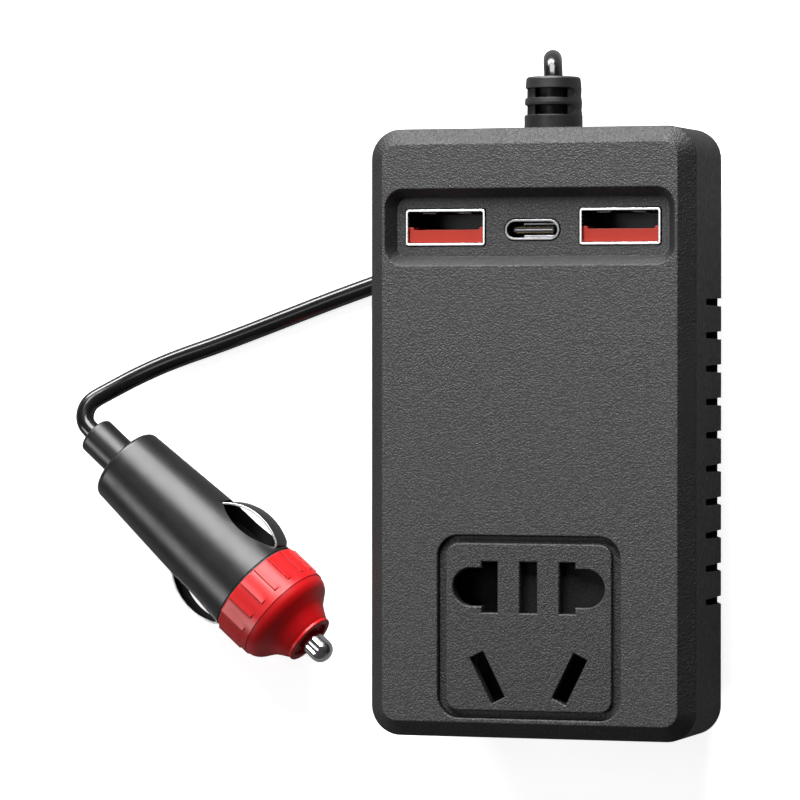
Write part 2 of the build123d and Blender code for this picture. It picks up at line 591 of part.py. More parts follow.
def cord_radii():
    """Each corner's radius: 0.45 of its shorter run, over the tangent of half its turn."""
    radii = []
    for before, at, after in zip(CORD_ROUTE, CORD_ROUTE[1:], CORD_ROUTE[2:]):
        into, out = at - before, after - at
        half_turn = math.radians(into.get_angle(out)) / 2
        radii.append(0.45 * min(into.length, out.length) / math.tan(half_turn))
    return radii


def make_power_cord():
    path = FilletPolyline(*CORD_ROUTE, radius=cord_radii())
    section = Plane(origin=path @ 0, z_dir=path % 0) * Circle(CORD_D / 2)
    cord = sweep(section, path=path)
    expected = math.pi * (CORD_D / 2) ** 2 * path.length
    print("cord length", round(path.length, 1), "radii", [round(r, 1) for r in cord_radii()])
    print("cord volume over section times length", round(cord.volume / expected, 4))
    return cord


# ---- Lighter plug, drawn along +Z and then laid in place ---------------------------------------
def spin(*outline):
    return revolve(Plane.XZ * make_face(Polyline(*outline, close=True)), Axis.Z)


def make_plug_neck_relief():
    neck = rod(NECK_R, 0, NECK_LEN - 0.35)
    back = [e for e in neck.edges() if e.center().Z < 0.01]
    neck = fillet(back, 0.6)
    neck += rod(NECK_R + 0.5, NECK_LEN - 0.35, NECK_LEN)
    neck += rod(2.95, NECK_LEN, NECK_FLANGE_BACK)
    return neck + rod(INNER_FLANGE_R, NECK_FLANGE_BACK, NECK_FLANGE_FRONT)


def make_plug_barrel():
    """A tapered body: hollow for the fuse, spigot in front for the cap, slots for the leaves."""
    barrel = spin((0, NECK_LEN), (BARREL_BACK_R, NECK_LEN), (BARREL_FRONT_R, BARREL_FRONT),
                  (SPIGOT_R, BARREL_FRONT), (SPIGOT_R, SPIGOT_END), (0, SPIGOT_END))
    back = [e for e in barrel.edges() if abs(e.center().Z - NECK_LEN) < 0.01 and e.length > 40]
    barrel = fillet(back, 1.0)
    barrel -= rod(3.0, NECK_LEN - 1, NECK_FLANGE_FRONT) + rod(BORE_R, NECK_FLANGE_BACK, SPIGOT_END + 1)
    with BuildSketch(Plane.YZ) as pocket:
        with BuildLine():
            end, bulge = LEAF_POCKET_END_W / 2, LEAF_POCKET_MIDDLE_W / 2
            middle = (LEAF_POCKET_BACK + LEAF_POCKET_FRONT) / 2
            Line((-end, LEAF_POCKET_BACK), (end, LEAF_POCKET_BACK))
            ThreePointArc((end, LEAF_POCKET_BACK), (bulge, middle), (end, LEAF_POCKET_FRONT))
            Line((end, LEAF_POCKET_FRONT), (-end, LEAF_POCKET_FRONT))
            ThreePointArc((-end, LEAF_POCKET_FRONT), (-bulge, middle), (-end, LEAF_POCKET_BACK))
        make_face()
    cut = Pos(LEAF_POCKET_FLOOR, 0, 0) * extrude(pocket.sketch, amount=8, dir=(1, 0, 0))
    # A slot under the skin for the foot, its roof sloping up to the pocket's back edge.
    slot = Plane.XZ * make_face(Polyline(
        (LEAF_POCKET_FLOOR, LEAF_SLOT_BACK), (LEAF_SLOT_TOP, LEAF_SLOT_BACK), (LEAF_SLOT_TOP, LEAF_SLOT_BEND),
        (LEAF_MOUTH_LOW, LEAF_POCKET_BACK - 0.1), (LEAF_MOUTH_HIGH, LEAF_POCKET_BACK + 0.1),
        (LEAF_POCKET_FLOOR, LEAF_POCKET_BACK + 0.1), close=True))
    cut += extrude(slot, amount=LEAF_POCKET_END_W / 2, both=True)
    for turn in (0, 180):
        barrel -= Rot(0, 0, turn) * cut
    return barrel


def leaf_contact():
    """A bowed steel strip: a foot inside the barrel wall, an arc that stands proud, and a hooked end."""
    half, rise = (LEAF_END - LEAF_START) / 2, LEAF_PEAK_X - LEAF_FOOT_X
    radius = (half ** 2 + rise ** 2) / (2 * rise)
    middle = (LEAF_START + LEAF_END) / 2
    bow = Pos(LEAF_PEAK_X - radius, middle) * (Circle(radius) - Circle(radius - LEAF_T))
    bow &= Pos(LEAF_FOOT_X + 4.65, (LEAF_START - 2.0 + LEAF_CUT) / 2) * Rectangle(10.0, LEAF_CUT - LEAF_START + 2.0)
    foot_end = LEAF_START + 0.9
    foot = Pos(LEAF_FOOT_X - 0.15, (LEAF_PIVOT + foot_end) / 2) * Rectangle(LEAF_T, foot_end - LEAF_PIVOT)
    hook_top = LEAF_PEAK_X - radius + math.sqrt(radius ** 2 - (LEAF_CUT - middle) ** 2) - 0.05
    hook = Pos((LEAF_HOOK_X + hook_top) / 2, LEAF_CUT - LEAF_T / 2) * Rectangle(hook_top - LEAF_HOOK_X, LEAF_T)
    return extrude(Plane.XZ * (bow + foot + hook), amount=LEAF_W / 2, both=True)


def make_nose_cap():
    """Red screw cap: ribbed grip band, concave nose, small flange and a recess round the tip."""
    band_back = BARREL_FRONT + GASKET_T
    with BuildSketch(Plane.XZ) as profile:
        with BuildLine():
            Polyline((0, band_back), (BAND_R, band_back), (BAND_R, BAND_END), NOSE_CURVE[0])
            Spline(*NOSE_CURVE, tangents=((-0.35, 1.0), (0.0, 1.0)))
            Polyline(NOSE_CURVE[-1], (FLANGE_R, NOSE_END - 0.3), (FLANGE_R - 0.2, NOSE_END),
                     (0, NOSE_END), (0, band_back))
        make_face()
    cap = revolve(profile.sketch, Axis.Z)
    for i in range(RIB_COUNT):
        angle = 360 / RIB_COUNT * (i + 0.5)
        rib = block((BAND_R - 0.4, RIB_R), (-0.22, 0.22), (band_back, RIB_END))
        cap += Rot(0, 0, angle) * rib
    cap -= rod(SPIGOT_R + RUNNING_GAP, band_back - 1, SPIGOT_END + 0.4)
    cap -= rod(5.0, SPIGOT_END, NOSE_SHOULDER)
    cap -= rod(TIP_R + RUNNING_GAP, NOSE_SHOULDER - 0.4, NOSE_END)
    cap -= rod(RECESS_R, NOSE_END - RECESS_DEPTH, NOSE_END + 1)
    return cap


def make_cap_gasket():
    ring = rod(BARREL_FRONT_R - 0.15, BARREL_FRONT, BARREL_FRONT + GASKET_T)
    return ring - rod(SPIGOT_R + 0.1, BARREL_FRONT - 1, BARREL_FRONT + 1)


def make_tip_pin():
    """Round-ended contact with a stop flange behind the cap's inner shoulder."""
    pin = rod(TIP_R, NOSE_SHOULDER - 1, TIP_END)
    end = [e for e in pin.edges() if e.center().Z > TIP_END - 0.01]
    pin = fillet(end, TIP_R - 0.2)
    return pin + rod(INNER_FLANGE_R, FUSE_FRONT, NOSE_SHOULDER - 0.05)


def make_fuse_caps():
    """Metal caps over the ends of the glass."""
    caps = []
    glass_from, glass_to = FUSE_BACK + 0.5, FUSE_FRONT - 0.5
    for low, high in ((FUSE_BACK, FUSE_BACK + 5.5), (FUSE_FRONT - 5.5, FUSE_FRONT)):
        caps.append(rod(FUSE_R + 0.15, low, high) - rod(FUSE_R - 0.15, glass_from, glass_to))
    return Compound(caps)


def make_fuse_glass():
    return rod(FUSE_R - 0.15, FUSE_BACK + 0.5, FUSE_FRONT - 0.5) - rod(FUSE_R - 0.75, FUSE_BACK + 1, FUSE_FRONT - 1)


def make_tip_spring():
    return Pos(0, 0, CONTACT_FRONT + SPRING_SLACK) * coil_spring(
        FUSE_BACK - CONTACT_FRONT - 2 * SPRING_SLACK, 2.3, 0.4, 4)


def make_fuse_contact():
    return rod(INNER_FLANGE_R, CONTACT_BACK, CONTACT_FRONT)


def make_plug_leads():
    return Compound([rod(0.7, NECK_FLANGE_FRONT, CONTACT_BACK, (x, 0)) for x in (-1.3, 1.3)])


PLUG_PIECES = {
    "plug_neck_relief": make_plug_neck_relief,
    "plug_barrel": make_plug_barrel,
    "plug_leads": make_plug_leads,
    "fuse_contact": make_fuse_contact,
    "tip_spring": make_tip_spring,
    "fuse_glass": make_fuse_glass,
    "fuse_caps": make_fuse_caps,
    "tip_pin": make_tip_pin,
    "nose_cap": make_nose_cap,
    "cap_gasket": make_cap_gasket,
    "leaf_contact_right": leaf_contact,
    "leaf_contact_left": lambda: Rot(0, 0, 180) * leaf_contact(),
}

BODY_PIECES = {
    "front_housing": make_front_housing,
    "back_housing": make_back_housing,
    "housing_screws": make_housing_screws,
    "rubber_feet": make_rubber_feet,
    "socket_faceplate": make_socket_faceplate,
    "socket_body": make_socket_body,
    "live_contact": lambda: line_contact(1),
    "neutral_contact": lambda: line_contact(-1),
    "earth_contact": make_earth_contact,
    "shutter_upper": make_shutter_upper,
    "shutter_lower": make_shutter_lower,
    "shutter_upper_spring": make_shutter_upper_spring,
    "shutter_lower_spring": make_shutter_lower_spring,
    "usb_a_shell_left": lambda: usb_a_shell(usb_a_centres()["left"]),
    "usb_a_shell_right": lambda: usb_a_shell(usb_a_centres()["right"]),
    "usb_a_tongue_left": lambda: usb_a_tongue(usb_a_centres()["left"]),
    "usb_a_tongue_right": lambda: usb_a_tongue(usb_a_centres()["right"]),
    "usb_c_shell": make_usb_c_shell,
    "usb_c_tongue": make_usb_c_tongue,
    "usb_board": make_usb_board,
    "main_board": make_main_board,
    "transformer_core": make_transformer_core,
    "transformer_winding": make_transformer_winding,
    "input_capacitors": make_input_capacitors,
    "high_voltage_capacitor": make_high_voltage_capacitor,
    "heat_sink": make_heat_sink,
    "power_transistors": make_power_transistors,
    "inductor_core": make_inductor_core,
    "inductor_winding": make_inductor_winding,
    "internal_leads": make_internal_leads,
    "strain_relief": make_strain_relief,
    "power_cord": make_power_cord,
}

os.makedirs("parts", exist_ok=True)
for name, make in BODY_PIECES.items():
    export_step(make(), f"parts/{name}.step")
for name, make in PLUG_PIECES.items():
    export_step(PLUG.location * make(), f"parts/{name}.step")
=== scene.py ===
import json
import math

import bmesh
import bpy
from mathutils import Matrix, Vector


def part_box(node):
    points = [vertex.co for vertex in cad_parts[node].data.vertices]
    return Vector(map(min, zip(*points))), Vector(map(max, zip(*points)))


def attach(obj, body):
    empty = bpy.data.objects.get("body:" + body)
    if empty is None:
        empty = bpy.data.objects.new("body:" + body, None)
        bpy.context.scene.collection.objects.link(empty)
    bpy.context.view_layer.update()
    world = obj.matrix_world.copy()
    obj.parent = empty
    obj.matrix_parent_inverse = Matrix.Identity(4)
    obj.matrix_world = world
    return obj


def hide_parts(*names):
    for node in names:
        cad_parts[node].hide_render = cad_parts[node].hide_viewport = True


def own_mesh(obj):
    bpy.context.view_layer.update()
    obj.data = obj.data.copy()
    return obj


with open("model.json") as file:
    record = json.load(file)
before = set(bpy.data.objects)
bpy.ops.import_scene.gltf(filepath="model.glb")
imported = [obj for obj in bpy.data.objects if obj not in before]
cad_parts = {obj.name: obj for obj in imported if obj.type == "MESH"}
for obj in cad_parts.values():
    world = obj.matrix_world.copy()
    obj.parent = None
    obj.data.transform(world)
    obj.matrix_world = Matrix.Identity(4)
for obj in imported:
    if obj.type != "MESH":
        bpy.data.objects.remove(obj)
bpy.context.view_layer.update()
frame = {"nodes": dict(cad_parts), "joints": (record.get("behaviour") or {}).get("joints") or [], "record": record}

MM = 0.001
NODES = frame["nodes"]
JOINTS = {joint["name"]: joint for joint in frame["joints"]}
SLOT_OF = {part["node"]: part["material_slot"] for part in frame["record"]["subparts"]}

# ---- Camera -----------------------------------------------------------------------------------
CAMERA_AT = Vector((212.404, 13.976, 737.281)) * MM
CAMERA_TARGET = Vector((-21.129, 5.1665, 31.0)) * MM
LENS = 211.97

camera_data = bpy.data.cameras.new("camera")
camera_data.lens = LENS
camera_data.sensor_width = 36
camera_data.clip_start, camera_data.clip_end = 0.01, 20
camera = bpy.data.objects.new("camera", camera_data)
camera_back = (CAMERA_AT - CAMERA_TARGET).normalized()
camera_right = Vector((0, 1, 0)).cross(camera_back).normalized()    # the picture's up is +Y
camera_up = camera_back.cross(camera_right)
camera.matrix_world = (Matrix.Translation(CAMERA_AT)
                       @ Matrix((camera_right, camera_up, camera_back)).transposed().to_4x4())
bpy.context.scene.collection.objects.link(camera)
bpy.context.scene.camera = camera
bpy.context.scene.view_settings.view_transform = "Standard"

# ---- The plug's own frame: z runs from its neck to its tip, x towards the right leaf contact ----
CAP_JOINT_AT = 41.0 * MM
PLUG_AXIS = Vector(JOINTS["cap_turn"]["axis"]).normalized()
PLUG_UP = Vector(JOINTS["leaf_left_press"]["axis"]).normalized()
PLUG_SIDE = PLUG_UP.cross(PLUG_AXIS)
PLUG_ORIGIN = Vector(JOINTS["cap_turn"]["pos_m"]) - PLUG_AXIS * CAP_JOINT_AT
PLUG = Matrix.Translation(PLUG_ORIGIN) @ Matrix((PLUG_SIDE, PLUG_UP, PLUG_AXIS)).transposed().to_4x4()


# ---- Materials --------------------------------------------------------------------------------
def grey(value, blue=0.0):
    """A neutral colour, with a little more blue where it looks cool."""
    return (value, value, value + blue)


class Look:
    """A material being made: texture nodes that feed one principled shader."""

    def __init__(self, name, colour, roughness, metallic=0.0, **sockets):
        self.material = bpy.data.materials.new(name)
        self.material.use_nodes = True
        self.tree = self.material.node_tree
        self.shader = self.tree.nodes["Principled BSDF"]
        self.colour = colour
        self.shader.inputs["Base Color"].default_value = (*colour, 1)
        self.shader.inputs["Roughness"].default_value = roughness
        self.shader.inputs["Metallic"].default_value = metallic
        for socket, value in sockets.items():
            self.shader.inputs[socket.replace("_", " ")].default_value = value
        self.place = self.add("ShaderNodeTexCoord").outputs["Object"]
        self.normal = None

    def add(self, kind, **values):
        node = self.tree.nodes.new(kind)
        for key, value in values.items():
            setattr(node, key, value)
        return node

    def link(self, output, target):
        self.tree.links.new(output, target)

    def stretched(self, scale):
        """Object coordinates scaled by a different amount along each axis."""
        mapping = self.add("ShaderNodeMapping")
        mapping.inputs["Scale"].default_value = scale
        self.link(self.place, mapping.inputs["Vector"])
        return mapping.outputs["Vector"]

    def noise(self, size, detail=2.0, place=None):
        """Noise whose features are about size metres across."""
        node = self.add("ShaderNodeTexNoise")
        node.inputs["Scale"].default_value = 1 / size
        node.inputs["Detail"].default_value = detail
        self.link(place or self.place, node.inputs["Vector"])
        return node.outputs["Fac"]

    def pebbles(self, size):
        """Rounded bumps about size metres across, 1 at their tops and 0 in the creases between."""
        node = self.add("ShaderNodeTexVoronoi", feature="F1")
        node.inputs["Scale"].default_value = 1 / size
        self.link(self.place, node.inputs["Vector"])
        return self.span(node.outputs["Distance"], 0.0, 0.75, 1.0, 0.0)

    def depth_below(self, top, reach):
        """0 at the height top (in metres) and above, 1 from reach below it."""
        split = self.add("ShaderNodeSeparateXYZ")
        self.link(self.place, split.inputs["Vector"])
        return self.span(split.outputs["Z"], top, top - reach, 0.0, 1.0)

    def facing_up(self):
        """1 where the surface faces up, 0 on slopes and walls."""
        split = self.add("ShaderNodeSeparateXYZ")
        self.link(self.add("ShaderNodeTexCoord").outputs["Normal"], split.inputs["Vector"])
        return self.span(split.outputs["Z"], 0.8, 0.97, 0.0, 1.0)

    def span(self, value, low, high, to_low, to_high):
        node = self.add("ShaderNodeMapRange")
        for key, number in zip(("From Min", "From Max", "To Min", "To Max"), (low, high, to_low, to_high)):
            node.inputs[key].default_value = number
        self.link(value, node.inputs["Value"])
        return node.outputs["Result"]

    def sum(self, first, second, share):
        """first + second * share."""
        node = self.add("ShaderNodeMath", operation="MULTIPLY_ADD")
        self.link(second, node.inputs[0])
        node.inputs[1].default_value = share
        self.link(first, node.inputs[2])
        return node.outputs["Value"]

    def blend_colour(self, factor, colour):
        """Mixes colour over what the base colour is so far."""
        node = self.add("ShaderNodeMix", data_type="RGBA")
        source = self.shader.inputs["Base Color"]
        if source.is_linked:
            self.link(source.links[0].from_socket, node.inputs["A"])
        else:
            node.inputs["A"].default_value = (*self.colour, 1)
        node.inputs["B"].default_value = (*colour, 1)
        self.link(factor, node.inputs["Factor"])
        self.link(node.outputs["Result"], source)
        return self

    def roughen(self, value, low, high):
        """Roughness from low to high as value goes from 0.3 to 0.7."""
        self.link(self.span(value, 0.3, 0.7, low, high), self.shader.inputs["Roughness"])
        return self

    def soften_edges(self, radius):
        """Rounds every edge in the shading, as a moulded or stamped edge is."""
        bevel = self.add("ShaderNodeBevel", samples=6)
        bevel.inputs["Radius"].default_value = radius
        self.normal = bevel.outputs["Normal"]
        self.link(self.normal, self.shader.inputs["Normal"])
        return self

    def bump(self, height, depth):
        node = self.add("ShaderNodeBump")
        node.inputs["Distance"].default_value = depth
        self.link(height, node.inputs["Height"])
        if self.normal:
            self.link(self.normal, node.inputs["Normal"])
        self.normal = node.outputs["Normal"]
        self.link(self.normal, self.shader.inputs["Normal"])
        return self

    def edge_mask(self, radius):
        """1 on edges, 0 on flats: how far the rounded normal turns from the true one."""
        bevel = self.add("ShaderNodeBevel", samples=6)
        bevel.inputs["Radius"].default_value = radius
        dot = self.add("ShaderNodeVectorMath", operation="DOT_PRODUCT")
        self.link(bevel.outputs["Normal"], dot.inputs[0])
        self.link(self.add("ShaderNodeNewGeometry").outputs["Normal"], dot.inputs[1])
        return self.span(dot.outputs["Value"], 0.995, 0.9, 0.0, 1.0)


def moulded_plastic(name, colour, paler_tone, grain, depth, roughness, painted_side_shade=None, **sockets):
    """Leather-like mould grain: pebbles broken up by noise, paler on their tops, with a painted highlight on the
    edges.
    With a side colour given, the slopes and walls take it as painted shade, so the upward faces stay paler."""
    look = Look(name, colour, roughness, **sockets).soften_edges(0.12 * MM)
    skin = look.sum(look.pebbles(grain), look.noise(grain * 0.55, 4.0), 1.3)
    look.blend_colour(look.span(skin, 0.9, 1.5, 0.0, 1.0), paler_tone)
    # painted shade: the slopes and walls take the side colour and so stay darker than the faces that look up
    if painted_side_shade:
        look.blend_colour(look.span(look.facing_up(), 0.0, 1.0, 1.0, 0.0), painted_side_shade)
    # painted highlight: every sharp edge is made paler than the grain
    look.blend_colour(look.span(look.edge_mask(0.2 * MM), 0.0, 1.0, 0.0, 0.6), [c * 1.4 for c in paler_tone])
    look.roughen(look.noise(grain * 2, 3.0), roughness - 0.06, roughness + 0.08)
    return look.bump(skin, depth).material


def smooth_plastic(name, colour, paler_tone, roughness, peel=0.004 * MM, rounding=0.1 * MM, **sockets):
    """Polished mould finish: a faint flow texture and fine handling marks."""
    look = Look(name, colour, roughness, **sockets)
    if rounding:
        look.soften_edges(rounding)
    look.blend_colour(look.span(look.noise(9 * MM, 3.0), 0.35, 0.75, 0.0, 0.7), paler_tone)
    look.roughen(look.noise(2.2 * MM, 5.0), roughness - 0.02, roughness + 0.04)
    return look.bump(look.sum(look.noise(0.5 * MM, 2.0), look.noise(0.12 * MM, 2.0), 0.35), peel).material


def rubber(name, colour, paler_tone, roughness, grain):
    look = Look(name, colour, roughness).soften_edges(0.1 * MM)
    look.blend_colour(look.span(look.noise(4 * MM, 4.0), 0.4, 0.75, 0.0, 0.8), paler_tone)
    look.roughen(look.noise(1.0 * MM, 4.0), roughness - 0.08, roughness + 0.1)
    return look.bump(look.noise(grain, 4.0), 0.012 * MM).material


def drawn_metal(name, colour, roughness, along, scratch=0.003 * MM, rounding=0.06 * MM, rim=None,
                painted_shade_below=None):
    """Metal with fine lines along one axis. It can have a rim, which the mesh marks, and a painted shade
    that darkens its inside below a height."""
    look = Look(name, colour, roughness, metallic=1.0).soften_edges(rounding)
    scale = [1 / (0.08 * MM)] * 3
    scale["xyz".index(along)] = 1 / (3.0 * MM)
    lines = look.noise(1.0, 3.0, look.stretched(scale))
    look.roughen(lines, roughness - 0.06, roughness + 0.1)
    look.blend_colour(look.span(look.noise(3 * MM, 3.0), 0.4, 0.7, 0.0, 0.5), [c * 0.8 for c in colour])
    if rim:
        look.blend_colour(look.add("ShaderNodeAttribute", attribute_name="rim").outputs["Fac"], rim)
    if painted_shade_below:
        # painted shade: darker below the given height, where the inside is in shadow
        look.blend_colour(look.depth_below(painted_shade_below, 0.9 * MM), [c * 0.12 for c in colour])
    return look.bump(lines, scratch).material


def wound_copper(name, colour, along):
    """Enamelled wire laid in rows across one axis."""
    look = Look(name, colour, 0.3, metallic=0.9)
    wave = look.add("ShaderNodeTexWave", bands_direction=along)
    wave.inputs["Scale"].default_value = 1 / (2.2 * MM)
    wave.inputs["Distortion"].default_value = 0.4
    look.link(look.place, wave.inputs["Vector"])
    look.blend_colour(look.span(wave.outputs["Fac"], 0.0, 0.5, 0.7, 0.0), [c * 0.35 for c in colour])
    look.roughen(look.noise(0.6 * MM, 3.0), 0.22, 0.42)
    return look.bump(wave.outputs["Fac"], 0.12 * MM).material


def circuit_board(name):
    """Solder mask over copper tracks."""
    look = Look(name, (0.012, 0.085, 0.03), 0.35, Coat_Weight=0.3).soften_edges(0.1 * MM)
    brick = look.add("ShaderNodeTexBrick")
    brick.inputs["Scale"].default_value = 1 / (9 * MM)
    brick.inputs["Mortar Size"].default_value = 0.06
    look.link(look.place, brick.inputs["Vector"])
    look.blend_colour(brick.outputs["Fac"], (0.05, 0.2, 0.06))
    look.blend_colour(look.span(look.noise(1.2 * MM, 3.0), 0.62, 0.68, 0.0, 0.6), (0.3, 0.3, 0.27))
    look.roughen(look.noise(0.8 * MM, 3.0), 0.28, 0.45)
    return look.bump(brick.outputs["Fac"], 0.03 * MM).material


def clear_glass(name):
    look = Look(name, (0.93, 0.97, 0.96), 0.06, Transmission_Weight=0.92, IOR=1.5)
    look.roughen(look.noise(1.5 * MM, 3.0), 0.02, 0.12)
    return look.bump(look.noise(2.0 * MM, 2.0), 0.004 * MM).material


PORT_RIM = 28.75 * MM
GRAIN, GRAIN_DEPTH, FINE_GRAIN_DEPTH = 0.32 * MM, 0.075 * MM, 0.012 * MM
# painted shade for the slopes and walls, darker than the tops
PAINTED_WALL_SHADE = grey(0.009, 0.0005)
MATERIALS = {
    "housing": moulded_plastic("housing", grey(0.027, 0.001), grey(0.058, 0.001), GRAIN, GRAIN_DEPTH, 0.5,
                               painted_side_shade=PAINTED_WALL_SHADE),
    "outlet_plate": moulded_plastic("outlet_plate", grey(0.022, 0.001), grey(0.050, 0.001), GRAIN,
                                    GRAIN_DEPTH, 0.5, painted_side_shade=PAINTED_WALL_SHADE),
    "inner_plastic": moulded_plastic("inner_plastic", grey(0.004), grey(0.006), 0.3 * MM,
                                     FINE_GRAIN_DEPTH, 0.6),
    "shutter": moulded_plastic("shutter", grey(0.008), grey(0.015), 0.4 * MM, FINE_GRAIN_DEPTH, 0.6,
                               Specular_IOR_Level=0.2),
    "contact_brass": drawn_metal("contact_brass", (0.78, 0.56, 0.24), 0.28, "z"),
    "spring_steel": drawn_metal("spring_steel", grey(0.6, 0.01), 0.3, "z"),
    "screw_steel": drawn_metal("screw_steel", grey(0.42, 0.01), 0.34, "z"),
    "foot_rubber": rubber("foot_rubber", grey(0.014), grey(0.03), 0.75, 0.35 * MM),
    # the shell's inside below the rim is darkened with painted shade
    "port_shell": drawn_metal("port_shell", grey(0.9, 0.01), 0.24, "z", rounding=0.14 * MM,
                              painted_shade_below=PORT_RIM),
    "port_c_shell": drawn_metal("port_c_shell", grey(0.36, 0.01), 0.26, "z", rounding=0.16 * MM),
    "port_tongue": smooth_plastic("port_tongue", (0.36, 0.020, 0.008), (0.46, 0.028, 0.011), 0.42),
    "port_insulator": smooth_plastic("port_insulator", grey(0.012), grey(0.02), 0.35),
    "circuit_board": circuit_board("circuit_board"),
    "ferrite": moulded_plastic("ferrite", grey(0.03, 0.002), grey(0.06), 0.25 * MM, 0.015 * MM, 0.55),
    "copper_winding": wound_copper("copper_winding", (0.72, 0.3, 0.12), "Z"),
    "capacitor_can": smooth_plastic("capacitor_can", (0.012, 0.02, 0.05), (0.02, 0.035, 0.08), 0.3),
    "heat_sink_metal": drawn_metal("heat_sink_metal", (0.72, 0.73, 0.74), 0.35, "y"),
    "transistor_case": moulded_plastic("transistor_case", grey(0.015), grey(0.03), 0.2 * MM, 0.01 * MM, 0.5),
    "lead_insulation": smooth_plastic("lead_insulation", (0.4, 0.012, 0.012), (0.5, 0.02, 0.02), 0.35),
    "cord_jacket": smooth_plastic("cord_jacket", grey(0.004, 0.0003), grey(0.008, 0.0005), 0.2,
                                  Coat_Weight=0.3, Coat_Roughness=0.1),
    "relief_rubber": smooth_plastic("relief_rubber", grey(0.010, 0.001), grey(0.018, 0.001), 0.4,
                                    peel=0.008 * MM),
    "plug_shell": smooth_plastic("plug_shell", grey(0.006, 0.0005), grey(0.008, 0.0005), 0.33,
                                 peel=0.001 * MM, rounding=0),
    "fuse_glass": clear_glass("fuse_glass"),
    "cap_red": smooth_plastic("cap_red", (0.46, 0.002, 0.004), (0.52, 0.004, 0.006), 0.36),
    "gasket": rubber("gasket", (0.006, 0.02, 0.02), (0.01, 0.03, 0.03), 0.6, 0.2 * MM),
    "tip_chrome": drawn_metal("tip_chrome", grey(0.86, 0.02), 0.08, "z", scratch=0.0004 * MM),
    "leaf_steel": drawn_metal("leaf_steel", grey(0.12, 0.005), 0.3, "x", rim=grey(0.95)),
}


def give(piece, slot):
    piece.data.materials.clear()
    piece.data.materials.append(MATERIALS[slot])
    return piece


for node_name, node in NODES.items():
    give(node, SLOT_OF[node_name])
give(NODES["usb_c_shell"], "port_c_shell")


# ---- Making pieces ----------------------------------------------------------------------------
def new_piece(name, mesh, slot, body, *replaced):
    """Links a mesh as a piece that rides on a body and stands for CAD nodes."""
    piece = bpy.data.objects.new(name, mesh)
    bpy.context.scene.collection.objects.link(piece)
    give(piece, slot)
    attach(piece, body)
    if replaced:
        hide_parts(*replaced)
    return piece


def finish_mesh(name, shape, place=Matrix.Identity(4), sharp_angle=35):
    """A bmesh in millimetres becomes a smooth-shaded mesh in metres, laid in place."""
    bmesh.ops.remove_doubles(shape, verts=shape.verts, dist=1e-5)
    bmesh.ops.recalc_face_normals(shape, faces=shape.faces)
    shape.transform(place @ Matrix.Scale(MM, 4))
    mesh = bpy.data.meshes.new(name)
    shape.to_mesh(mesh)
    shape.free()
    for polygon in mesh.polygons:
        polygon.use_smooth = True
    mesh.set_sharp_from_angle(angle=math.radians(sharp_angle))
    return mesh


def loft(shape, rings, closed=False):
    """Quads between rings of points. Each ring is a closed loop of the same length."""
    rows = [[shape.verts.new(point) for point in ring] for ring in rings]
    pairs = list(zip(rows, rows[1:])) + ([(rows[-1], rows[0])] if closed else [])
    for low, high in pairs:
        for i in range(len(low)):
            j = (i + 1) % len(low)
            shape.faces.new((low[i], low[j], high[j], high[i]))
    if not closed:
        shape.faces.new(rows[0])
        shape.faces.new(rows[-1])


def arc(centre, radius, start, end, count):
    """Points of an arc in a plane, angles in degrees."""
    angles = [math.radians(start + (end - start) * i / count) for i in range(count + 1)]
    return [(centre[0] + radius * math.cos(a), centre[1] + radius * math.sin(a)) for a in angles]


# ---- Cord, its route and thickness in millimetres -----------------------------------------------
CORD_D = 3.0
NECK_STRAIGHT = 1.68
NECK_END = tuple(PLUG_ORIGIN / MM)
NECK_ENTRY = tuple((PLUG_ORIGIN - PLUG_AXIS * NECK_STRAIGHT * MM) / MM)
CORD_ROUTE = [
    (0.0, 54.7, 17.05), (0.0, 56.6, 17.05), (-0.4, 58.5, 16.1), (-1.0, 59.55, 14.2), (-1.9, 59.8, 10.9),
    (-3.0, 59.6, 7.2), (-3.9, 58.7, 3.9), (-4.4, 56.2, 1.9), (-4.7, 52.6, 1.55), (-4.8, 47.0, 1.53),
    (-6.8, 40.0, 1.53), (-12.0, 33.2, 1.53), (-19.8, 28.8, 1.53), (-30.0, 25.5, 1.53), (-40.3, 22.1, 1.53),
    (-51.0, 18.2, 1.53), (-62.0, 14.2, 1.53), (-70.6, 11.4, 1.75), (-76.6, 8.8, 2.4), (-80.9, 6.45, 3.4),
    (-83.9, 4.75, 4.4), (-84.75, 3.7, 4.95), (-85.12, 2.45, 5.4), (-84.98, 1.15, 5.75), NECK_ENTRY, NECK_END,
]


def make_cord():
    curve = bpy.data.curves.new("cord", "CURVE")
    curve.dimensions = "3D"
    spline = curve.splines.new("NURBS")
    spline.points.add(len(CORD_ROUTE) - 1)
    for point, place in zip(spline.points, CORD_ROUTE):
        point.co = (*(Vector(place) * MM), 1)
    spline.order_u = 3
    spline.use_endpoint_u = True
    curve.resolution_u = 24
    curve.bevel_depth = CORD_D / 2 * MM
    curve.bevel_resolution = 10
    curve.use_fill_caps = True
    cord = bpy.data.objects.new("cord", curve)
    bpy.context.scene.collection.objects.link(cord)
    give(cord, "cord_jacket")
    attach(cord, "housing")
    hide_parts("power_cord")
    return cord


# ---- Red screw cap, in millimetres in the plug's frame ----------------------------------------
CAP_BACK, BAND_END, NOSE_END = 39.1, 45.5, 51.9
BAND_R, RIDGE_R, FLANGE_R = 8.72, 8.92, 4.4
RECESS_R, RECESS_FLOOR = 3.4, 51.2
PIN_BORE_R, FUSE_BORE_R, NECK_BORE_R = 2.06, 5.0, 7.26
FUSE_BORE_END, NECK_BORE_END = 46.8, 43.8
RIDGE_COUNT, RIDGE_END, RIDGE_RUNOUT = 18, 44.2, 0.1
BAND_STEP, CAP_BEVEL = 0.12, 0.15
CAP_SHARP_ANGLE = 17
